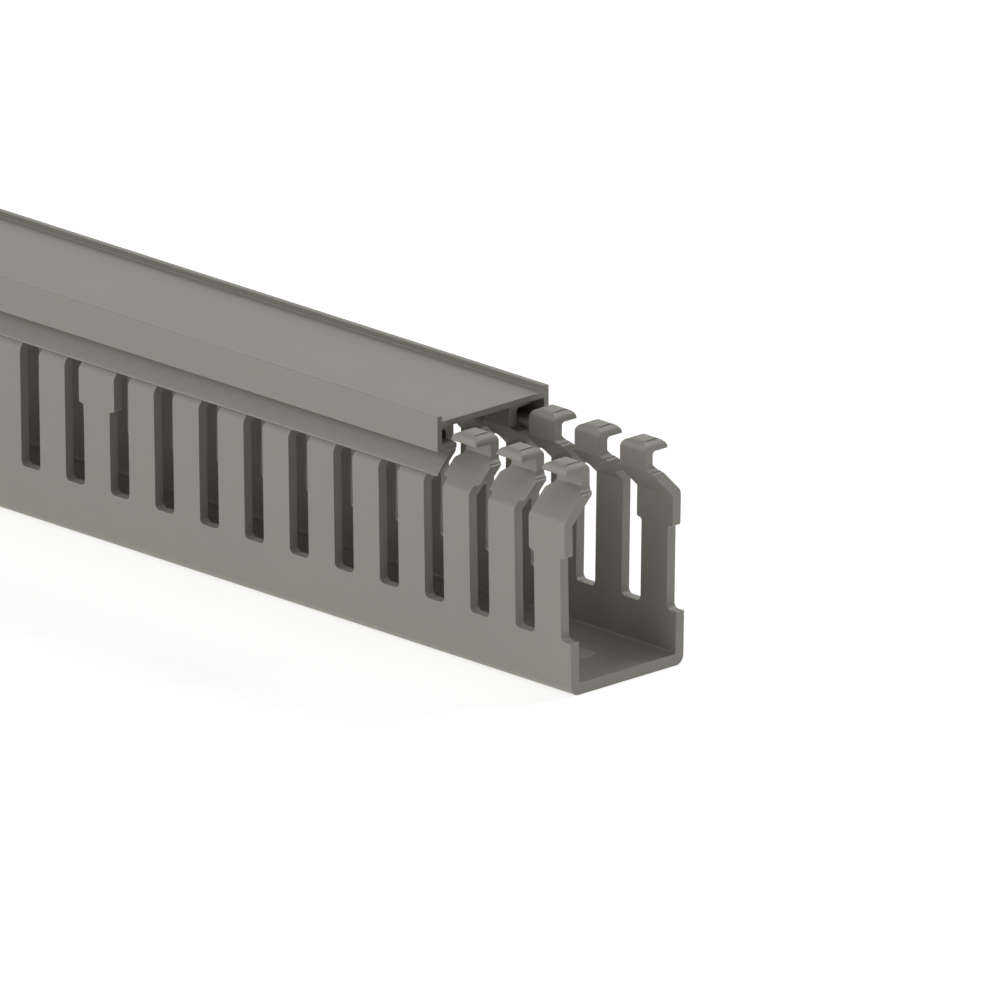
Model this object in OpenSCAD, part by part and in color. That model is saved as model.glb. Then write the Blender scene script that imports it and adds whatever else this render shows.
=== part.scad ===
// Slotted wire duct of rigid plastic: a punched trough with hooked fingers, and its cover.
// X runs along the duct towards its shown end, Y across it, and Z up from its underside.
// The origin is the middle of the trough's underside.

/* [Length] */
// Length of the trough and of the cover
duct_length = 500; // [250:10:600]
// How far the cover's end stands back from the trough's shown end
cover_setback = 30.8; // [0:0.1:120]

/* [Trough] */
// Width across the underside
base_w = 24.7; // [22:0.1:40]
// Thickness of the base
base_t = 1.95; // [1.5:0.05:3]
// Thickness of the walls
wall_t = 1.75; // [1.2:0.05:2.2]
// Outward lean of each wall in degrees
wall_lean = 1; // [0:0.1:2]
// Radius of the outer bottom corners
corner_r = 1.6; // [0.5:0.1:2.5]
// Radius of the inner bottom corners
inner_corner_r = 0.45; // [0.1:0.05:1]
// Height of the bend where the fingers turn inwards
bend_z = 28.6; // [24:0.1:60]
// Radius on the outside of that bend
bend_r = 1.45; // [0.2:0.05:1.6]

/* [Fingers] */
// Pitch of the fingers
pitch = 10.4; // [10:0.1:12]
// Width of a finger between its slots
finger_w = 6; // [5:0.1:7]
// Width of a finger's slanted shoulder
shoulder_w = 8.2; // [8:0.05:9]
// Width of a finger's neck and head
head_w = 5.75; // [5:0.05:6]
// Thickness of the shoulder and the neck
arm_t = 1.7; // [1.2:0.05:1.8]
// Slant of the shoulders in degrees from upright
slant = 45; // [40:1:50]
// How far a shoulder leans in, from the bend to the outside of its neck
shoulder_run = 5.05; // [4:0.05:6]
// Height from a neck's foot to the top of its hook
neck_h = 3.75; // [3.2:0.05:6]
// Radius in the hollow between a shoulder and its neck
neck_r = 0.4; // [0.1:0.1:0.8]
// How far a hook stands out from its neck
hook_reach = 3.25; // [2.6:0.05:3.6]
// Thickness of a hook
hook_t = 1.55; // [1.45:0.05:1.8]
// Radius on the outer edge of a hook
hook_r = 1.4; // [0.5:0.05:1.5]
// Radius on the inner edge of a hook
hook_back_r = 1.45; // [0.5:0.05:1.6]
// Radius in the hollow under a hook
under_hook_r = 0.6; // [0.1:0.1:0.8]
// Every such finger, counted from the shown end, is wide down to the middle of the wall
wide_every = 10; // [2:1:20]
// How far below the bend a wide finger's wide part ends
wide_drop = 5.8; // [2:0.1:10]

/* [Slots] */
// Height of the slots' floor above the underside
slot_floor = 8.85; // [6:0.05:12]
// Radius of the corners at a slot's floor
slot_floor_r = 0.9; // [0.3:0.05:1.4]
// How far a slot reaches above the bend
slot_rise = 1.2; // [0:0.05:1.5]
// Radius of the corners at a slot's top
slot_top_r = 0.5; // [0.2:0.05:0.8]
// How far the shoulders' tops lie below the necks' feet
shoulder_drop = 0.95; // [0.5:0.05:1.6]
// Radius in the corner between a shoulder's top and its neck
shoulder_fillet_r = 0.7; // [0.2:0.05:0.8]
// Radius of the shoulders' own corners
shoulder_r = 0.45; // [0.1:0.05:0.5]
// Radius of the upper corners of a head, seen from the side
head_r = 1.35; // [0.5:0.05:1.5]
// Height of the small step that the punch leaves beside a rounded corner
punch_step = 0.15; // [0.05:0.05:0.25]

/* [Base holes] */
// Width of the oblong fixing holes
hole_w = 4.5; // [3:0.1:7]
// Length of the oblong fixing holes
hole_l = 12; // [8:0.5:16]
// Distance from the trough's end to the nearest fixing hole
hole_start = 8.45; // [5:0.05:30]
// Spacing of the fixing holes
hole_spacing = 50; // [20:1:100]

/* [Cover] */
// Thickness of the cover's plate and sides
cover_t = 1; // [0.8:0.05:1.2]
// Clearance between the hooks' tops and the cover's plate
top_fit = 0.05; // [0.05:0.05:0.3]
// Clearance between the hooks' tips and the cover's sides
side_fit = 0.2; // [0.1:0.05:0.3]
// Clearance between the necks and the cover's lips
lip_fit = 0.2; // [0.1:0.05:0.3]
// Clearance between the shoulders and the cover's skirts
skirt_fit = 0.1; // [0.05:0.05:0.3]
// Height of the cover's edge ridges above its plate
ridge_h = 1; // [0.3:0.05:2]
// How far the sides reach down past the necks' feet
side_drop = 0.1; // [0:0.05:0.3]
// Thickness of the ledges that reach in under the hooks
ledge_t = 1.05; // [0.8:0.05:1.2]
// Radius on the upper edge of a ledge's lip
lip_r = 0.7; // [0.1:0.05:0.75]
// Thickness of the slanted skirts at their roots
skirt_t = 0.7; // [0.5:0.05:1]
// Height of the skirts' upright tips
skirt_tip_h = 0.45; // [0.35:0.05:1]
// Radius in the hollow between a side and its skirt
skirt_root_r = 0.3; // [0.1:0.05:0.6]
// Radius of the cover's outer edges
outer_edge_r = 0.15; // [0.05:0.05:0.25]
// Radius of the edges and corners inside the cover
inner_edge_r = 0.2; // [0.05:0.05:0.3]
// Radius under the skirts' tips
skirt_tip_r = 0.1; // [0.05:0.01:0.12]

/* [Hidden] */
$fn = 48;

plastic = "#8c897f";
// How far a cut runs past the surface that it opens
past = 1;
// Two points closer than this are one point
nearly = 0.0001;

shown_end = duct_length / 2;
gap_count = floor(duct_length / pitch);
last_gap_x = shown_end - gap_count * pitch;
first_hole_x = shown_end - hole_start - hole_l / 2;
hole_count = floor((duct_length - 2 * hole_start - hole_l) / hole_spacing) + 1;

// The wall leans out from the underside, and the shoulder leans in from the bend.
base_y = base_w / 2;
bend_y = base_y + bend_z * tan(wall_lean);
wall_across = wall_t / cos(wall_lean);
shoulder_across = arm_t / cos(slant);
neck_y = bend_y - shoulder_run;
neck_z = bend_z + shoulder_run / tan(slant);
hook_y = neck_y + hook_reach;
hook_top = neck_z + neck_h;
hook_z = hook_top - hook_t;
shoulder_z = neck_z - shoulder_drop;

// Half widths across the trough's inner faces.
floor_y = base_y + base_t * tan(wall_lean) - wall_across;
neck_in_y = neck_y - arm_t;
neck_in_z = bend_z + (bend_y - shoulder_across - neck_in_y) / tan(slant);
bend_in_z = (bend_z + (bend_y - shoulder_across - base_y + wall_across) / tan(slant))
    / (1 + tan(wall_lean) / tan(slant));
bend_in_y = base_y - wall_across + bend_in_z * tan(wall_lean);

// Half widths of a gap between two fingers, seen from the side.
slot_half = (pitch - finger_w) / 2;
shoulder_gap = (pitch - shoulder_w) / 2;
head_gap = (pitch - head_w) / 2;

// Two of a gap's fillets, where need be limited by the width of the shoulder beside them.
slot_top_fillet = min(slot_top_r, slot_half - shoulder_gap - shoulder_r);
shoulder_fillet = min(shoulder_fillet_r, head_gap - shoulder_gap - shoulder_r);

// The cover hangs on the hooks, and its lips and skirts follow the necks and the shoulders.
plate_z = hook_top + top_fit;
plate_top = plate_z + cover_t;
cover_top = plate_top + ridge_h;
side_z = neck_z - side_drop;
side_in_y = hook_y + side_fit;
side_out_y = side_in_y + cover_t;
ledge_top = side_z + ledge_t;
lip_y = neck_y + lip_fit;
skirt_in_z = bend_z + skirt_fit / sin(slant);
skirt_root_y = bend_y - (side_z - skirt_in_z - skirt_t / sin(slant)) * tan(slant);

// Height of a skirt's inner face at a distance y from the duct's middle.
function skirt_face(y) = skirt_in_z + (bend_y - y) / tan(slant);

// The same outline points on the other side, in the order that closes the outline.
function mirrored(points) =
    [for (i = [len(points) - 1:-1:0]) [-points[i][0], points[i][1], points[i][2]]];

function spot(point) = [point[0], point[1]];
function unit(v) = v / norm(v);

// A flat outline from counterclockwise points [x, y, radius], with true arcs at its corners.
module rounded_outline(points) {
    n = len(points);
    at = [for (p = points) spot(p)];
    back = [for (i = [0:n - 1]) unit(at[(i + n - 1) % n] - at[i])];
    ahead = [for (i = [0:n - 1]) unit(at[(i + 1) % n] - at[i])];
    half_angle = [for (i = [0:n - 1]) acos(back[i] * ahead[i]) / 2];
    reach = [for (i = [0:n - 1]) points[i][2] / tan(half_angle[i])];
    outward = [for (i = [0:n - 1]) cross(ahead[i], back[i]) > 0];

    module arc(i) {
        r = points[i][2];
        centre = at[i] + unit(back[i] + ahead[i]) * r / sin(half_angle[i]);
        beyond = at[i] - unit(back[i] + ahead[i]) * r;
        intersection() {
            polygon([at[i] + back[i] * reach[i], beyond, at[i] + ahead[i] * reach[i]]);
            translate(centre) circle(r);
        }
    }

    corners = [for (i = [0:n - 1]) each points[i][2] > 0
        ? [at[i] + back[i] * reach[i], at[i] + ahead[i] * reach[i]]
        : [at[i]]];
    // An arc may end right on the next corner, which then isn't repeated.
    kept = [for (i = [0:len(corners) - 1])
        if (norm(corners[i] - corners[max(i - 1, 0)]) > nearly || i == 0) corners[i]];

    difference() {
        union() {
            polygon(kept);
            for (i = [0:n - 1]) if (points[i][2] > 0 && outward[i]) arc(i);
        }
        for (i = [0:n - 1]) if (points[i][2] > 0 && !outward[i]) arc(i);
    }
}

// One constant section, drawn across Y and Z, run along X.
module run(start_x, length) {
    translate([start_x, 0, 0]) rotate([90, 0, 90]) linear_extrude(length) children();
}

// The trough's section before punching: base, leaning walls, shoulders, necks and hooks.
module trough_section() {
    side = [
        [base_y, 0, corner_r],
        [bend_y, bend_z, bend_r],
        [neck_y, neck_z, neck_r],
        [neck_y, hook_z, under_hook_r],
        [hook_y, hook_z, 0],
        [hook_y, hook_top, hook_r],
        [neck_in_y, hook_top, hook_back_r],
        [neck_in_y, neck_in_z, 0],
        [bend_in_y, bend_in_z, 0],
        [floor_y, base_t, inner_corner_r]
    ];
    rounded_outline(concat(side, mirrored(side)));
}

// The edge of a gap on its +X side, from the slot's floor up past the head.
function gap_edge(is_wide) =
    let (slot_top = is_wide ? bend_z - wide_drop : bend_z + slot_rise)
    [
        [slot_half, slot_floor, slot_floor_r],
        [slot_half, slot_top, slot_top_fillet],
        [shoulder_gap, slot_top, shoulder_r],
        [shoulder_gap, shoulder_z - punch_step, shoulder_r],
        [shoulder_gap + shoulder_r, shoulder_z - punch_step, 0],
        [shoulder_gap + shoulder_r, shoulder_z, 0],
        [head_gap, shoulder_z, shoulder_fillet],
        [head_gap, hook_top - punch_step, head_r],
        [head_gap + head_r, hook_top - punch_step, 0],
        [head_gap + head_r, hook_top + past, 0]
    ];

// The open edge of a gap that runs out through an end of the trough.
function open_edge(distance) =
    [[distance + past, slot_floor, 0], [distance + past, hook_top + past, 0]];

function is_wide(finger) = finger % wide_every == 0;

// The punch for one gap. It cuts both walls at once.
module gap_punch(i) {
    ahead = i == 0 ? open_edge(0) : gap_edge(is_wide(i - 1));
    behind = i == gap_count ? open_edge(last_gap_x + shown_end) : gap_edge(is_wide(i));
    translate([shown_end - i * pitch, 0, 0]) rotate([90, 0, 0])
        linear_extrude(2 * (bend_y + past), center = true)
            rounded_outline(concat(ahead, mirrored(behind)));
}

// One oblong fixing hole through the base.
module fixing_hole() {
    half_run = (hole_l - hole_w) / 2;
    translate([0, 0, -past]) linear_extrude(base_t + 2 * past) {
        square([2 * half_run, hole_w], center = true);
        for (side = [-1, 1]) translate([side * half_run, 0]) circle(d = hole_w);
    }
}

module trough() {
    color(plastic) difference() {
        run(-shown_end, duct_length) trough_section();
        for (i = [0:gap_count]) gap_punch(i);
        for (i = [0:hole_count - 1]) translate([first_hole_x - i * hole_spacing, 0, 0]) fixing_hole();
    }
}

// The cover's section: plate, sides with their ridges, ledges and slanted skirts.
module cover_section() {
    side = [
        [side_out_y, skirt_face(side_out_y), skirt_tip_r],
        [side_out_y, skirt_face(side_out_y) + skirt_tip_h, outer_edge_r],
        [skirt_root_y, side_z, skirt_root_r],
        [side_out_y, side_z, outer_edge_r],
        [side_out_y, cover_top, outer_edge_r],
        [side_in_y, cover_top, outer_edge_r],
        [side_in_y, plate_top, outer_edge_r]
    ];
    pocket = [
        [side_in_y, plate_z, inner_edge_r],
        [side_in_y, ledge_top, inner_edge_r],
        [lip_y, ledge_top, lip_r],
        [lip_y, skirt_face(lip_y), 0]
    ];
    rounded_outline(concat(side, mirrored(side), mirrored(pocket), pocket));
}

module cover() {
    color(plastic) run(-shown_end - cover_setback, duct_length) cover_section();
}

trough();
cover();
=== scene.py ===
import math

import bpy
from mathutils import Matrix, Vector


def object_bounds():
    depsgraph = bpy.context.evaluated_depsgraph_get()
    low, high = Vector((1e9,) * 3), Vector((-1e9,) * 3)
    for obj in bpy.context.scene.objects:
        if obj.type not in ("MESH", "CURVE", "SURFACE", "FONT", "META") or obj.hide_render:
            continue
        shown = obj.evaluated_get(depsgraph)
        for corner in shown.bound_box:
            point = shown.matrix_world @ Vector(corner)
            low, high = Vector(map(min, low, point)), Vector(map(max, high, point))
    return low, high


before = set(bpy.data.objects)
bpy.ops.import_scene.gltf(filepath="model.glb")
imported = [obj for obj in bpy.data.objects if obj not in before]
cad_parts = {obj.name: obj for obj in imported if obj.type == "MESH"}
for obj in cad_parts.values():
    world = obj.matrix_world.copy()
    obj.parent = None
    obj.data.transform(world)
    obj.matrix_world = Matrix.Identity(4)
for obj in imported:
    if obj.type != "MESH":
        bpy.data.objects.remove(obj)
CAD_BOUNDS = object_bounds()
SHOWN_END = CAD_BOUNDS[1][0]
FLOOR_LEVEL = CAD_BOUNDS[0][2]

# The photo's view: the direction from the object to the camera, and the width that it shows. The photo
# is a parallel view (46.4 and 18.0 degrees, 0.1594 m wide), and these values bring the long lens within
# three pixels of it over all that it shows.
AZIMUTH = math.radians(46.1857)
ELEVATION = math.radians(18.1076)
SHOWN_WIDTH = 0.15879
LENS = 1700.0
SENSOR = 36.0
NEAREST_SEEN = 0.1
FURTHEST_SEEN = 60.0
# Where the photo's middle lies from the middle of the near end's foot, in the picture.
AIM_LEFT = 0.020231
AIM_UP = 0.028618

# The plastic: its colour, how far that varies either way, and its gloss.
GREY = (0.269, 0.2545, 0.2205)
CLOUD_CHANGE = 0.035
STREAK_CHANGE = 0.025
ROUGHNESS_LOW = 0.42
ROUGHNESS_HIGH = 0.54
REFRACTION = 1.53
# Its patterns: the lines of the extrusion die, broad clouds and a fine grain. A scale counts a pattern's
# waves in a metre, and a detail its finer layers. The squeeze stretches the lines 100 times along X.
LINE_SCALE = 2600.0
LINE_DETAIL = 4.0
LINE_SQUEEZE = (0.01, 1.0, 1.0)
CLOUD_SCALE = 45.0
CLOUD_DETAIL = 3.0
GRAIN_SCALE = 5200.0
GRAIN_DETAIL = 2.0
# How strongly the lines and the grain stand out, and by how many metres.
LINE_STRENGTH = 0.25
LINE_HEIGHT = 0.00002
GRAIN_STRENGTH = 0.15
GRAIN_HEIGHT = 0.00001
# The rounding that the sharp edges show.
EDGE_RADIUS = 0.00005
EDGE_SAMPLES = 6

WHITE = (1.0, 1.0, 1.0, 1.0)
FLOOR_COLOUR = (0.85, 0.85, 0.85, 1.0)
FLOOR_SIZE = 12.0
# The floor's own glow, as on a light table: how it lights the object, and how it shows.
FLOOR_GLOW = 0.48
FLOOR_LIFT = 0.62

# The softboxes all face the point at this height in the shown end, from this distance. Each has its
# name, the direction to it, its width and height in metres, and its power in watts.
LIT_HEIGHT = 0.02
SOFTBOX_DISTANCE = 2.5
SOFTBOXES = (
    ("front", (-0.35, -0.85, 0.35), 3.0, 2.4, 34.8),
    ("back", (0.0, 0.85, 0.5), 1.6, 1.6, 35.3),
    ("top", (0.0, 0.0, 1.0), 1.6, 1.6, 14.5),
)


def towards_camera():
    """The unit vector from the object to the camera. The camera looks at +X from the front, -Y, side."""
    level = math.cos(ELEVATION)
    return Vector((math.sin(AZIMUTH) * level, -math.cos(AZIMUTH) * level, math.sin(ELEVATION)))


def aim():
    """The point that the photo's middle shows."""
    right = Vector((math.cos(AZIMUTH), math.sin(AZIMUTH), 0.0))
    up = towards_camera().cross(right)
    return Vector((SHOWN_END, 0.0, FLOOR_LEVEL)) - right * AIM_LEFT + up * AIM_UP


def make_camera():
    """A very long lens, which stands in for the photo's parallel view."""
    data = bpy.data.cameras.new("camera")
    data.type = "PERSP"
    data.sensor_width = SENSOR
    data.lens = LENS
    data.clip_start = NEAREST_SEEN
    data.clip_end = FURTHEST_SEEN
    camera = bpy.data.objects.new("camera", data)
    bpy.context.scene.collection.objects.link(camera)
    distance = SHOWN_WIDTH * LENS / SENSOR
    camera.location = aim() + towards_camera() * distance
    camera.rotation_euler = towards_camera().to_track_quat("Z", "Y").to_euler()
    bpy.context.scene.camera = camera


def clear_tree(owner):
    """The node tree of a material or a world, with nothing in it."""
    owner.use_nodes = True
    owner.node_tree.nodes.clear()
    return owner.node_tree


def add_node(tree, kind, inputs=None, **settings):
    """Adds a node. Each of its named or numbered inputs gets a value, or the output that feeds it."""
    node = tree.nodes.new(kind)
    for key, value in settings.items():
        setattr(node, key, value)
    for key, value in (inputs or {}).items():
        if isinstance(value, bpy.types.NodeSocket):
            tree.links.new(value, node.inputs[key])
        else:
            node.inputs[key].default_value = value
    return node


def add_noise(tree, place, scale, detail):
    """A noise pattern from 0 to 1."""
    inputs = {"Vector": place, "Scale": scale, "Detail": detail}
    return add_node(tree, "ShaderNodeTexNoise", inputs).outputs["Fac"]


def add_range(tree, factor, low, high):
    """A value from low to high, as the factor goes from 0 to 1."""
    inputs = {"Value": factor, "To Min": low, "To Max": high}
    return add_node(tree, "ShaderNodeMapRange", inputs).outputs["Result"]


def add_bump(tree, pattern, normal, strength, height):
    """The normal of a surface on which the pattern stands out."""
    inputs = {"Height": pattern, "Normal": normal, "Strength": strength, "Distance": height}
    return add_node(tree, "ShaderNodeBump", inputs).outputs["Normal"]


def plastic(name, colour):
    """Satin rigid plastic with the fine lines that an extrusion die leaves along X."""
    material = bpy.data.materials.new(name)
    tree = clear_tree(material)
    place = add_node(tree, "ShaderNodeTexCoord").outputs["Object"]
    squeezed = add_node(tree, "ShaderNodeMapping", {"Vector": place, "Scale": LINE_SQUEEZE})
    lines = add_noise(tree, squeezed.outputs["Vector"], LINE_SCALE, LINE_DETAIL)
    clouds = add_noise(tree, place, CLOUD_SCALE, CLOUD_DETAIL)
    grain = add_noise(tree, place, GRAIN_SCALE, GRAIN_DETAIL)

    darker = [channel * (1 - CLOUD_CHANGE) for channel in colour] + [1.0]
    lighter = [channel * (1 + CLOUD_CHANGE) for channel in colour] + [1.0]
    tone = add_node(tree, "ShaderNodeMix", {"Factor": clouds, "A": darker, "B": lighter}, data_type="RGBA")
    streaks = add_range(tree, lines, 1 - STREAK_CHANGE, 1 + STREAK_CHANGE)
    shade = add_node(tree, "ShaderNodeVectorMath", {0: tone.outputs["Result"], "Scale": streaks},
                     operation="SCALE")

    edges = add_node(tree, "ShaderNodeBevel", {"Radius": EDGE_RADIUS}, samples=EDGE_SAMPLES)
    lined = add_bump(tree, lines, edges.outputs["Normal"], LINE_STRENGTH, LINE_HEIGHT)
    shader = add_node(tree, "ShaderNodeBsdfPrincipled", {
        "Base Color": shade.outputs["Vector"],
        "Roughness": add_range(tree, lines, ROUGHNESS_LOW, ROUGHNESS_HIGH),
        "IOR": REFRACTION,
        "Normal": add_bump(tree, grain, lined, GRAIN_STRENGTH, GRAIN_HEIGHT),
    })
    add_node(tree, "ShaderNodeOutputMaterial", {"Surface": shader.outputs["BSDF"]})
    return material


def dress(piece, material):
    """Puts the material in every slot of a CAD node."""
    for place in piece.material_slots:
        place.material = material


def seen_directly(tree):
    """1 for rays that show the background as it is: camera rays, reflections and rays through glass."""
    rays = add_node(tree, "ShaderNodeLightPath").outputs
    first = add_node(tree, "ShaderNodeMath", {0: rays["Is Camera Ray"], 1: rays["Is Glossy Ray"]},
                     operation="MAXIMUM").outputs["Value"]
    return add_node(tree, "ShaderNodeMath", {0: first, 1: rays["Is Transmission Ray"]},
                    operation="MAXIMUM").outputs["Value"]


def make_floor():
    """A plain pale floor: white where it is seen in full light, with the object's soft shadow."""
    bpy.ops.mesh.primitive_plane_add(size=FLOOR_SIZE, location=(0, 0, FLOOR_LEVEL))
    floor = bpy.context.object
    floor.name = "floor"
    material = bpy.data.materials.new("floor")
    tree = clear_tree(material)
    plain = add_node(tree, "ShaderNodeBsdfDiffuse", {"Color": FLOOR_COLOUR})
    strength = add_range(tree, seen_directly(tree), FLOOR_GLOW, FLOOR_LIFT)
    glow = add_node(tree, "ShaderNodeEmission", {"Strength": strength})
    both = add_node(tree, "ShaderNodeAddShader", {0: plain.outputs["BSDF"], 1: glow.outputs["Emission"]})
    add_node(tree, "ShaderNodeOutputMaterial", {"Surface": both.outputs["Shader"]})
    floor.data.materials.append(material)


def make_world():
    """White where it is seen or reflected, and no diffuse light on the object."""
    world = bpy.data.worlds.new("studio")
    bpy.context.scene.world = world
    tree = clear_tree(world)
    white = add_node(tree, "ShaderNodeBackground", {"Color": WHITE, "Strength": seen_directly(tree)})
    add_node(tree, "ShaderNodeOutputWorld", {"Surface": white.outputs["Background"]})


def make_softbox(name, direction, width, height, power):
    """A rectangular area light that faces the shown end of the object."""
    data = bpy.data.lights.new(name, "AREA")
    data.shape = "RECTANGLE"
    data.size = width
    data.size_y = height
    data.energy = power
    light = bpy.data.objects.new(name, data)
    away = Vector(direction).normalized()
    light.location = Vector((SHOWN_END, 0.0, LIT_HEIGHT)) + away * SOFTBOX_DISTANCE
    light.rotation_euler = away.to_track_quat("Z", "Y").to_euler()
    bpy.context.scene.collection.objects.link(light)


grey = plastic("grey_plastic", GREY)
for name in ("trough", "cover"):
    dress(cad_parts[name], grey)

make_camera()
make_floor()
make_world()
for softbox in SOFTBOXES:
    make_softbox(*softbox)

bpy.context.scene.view_settings.view_transform = "Standard"
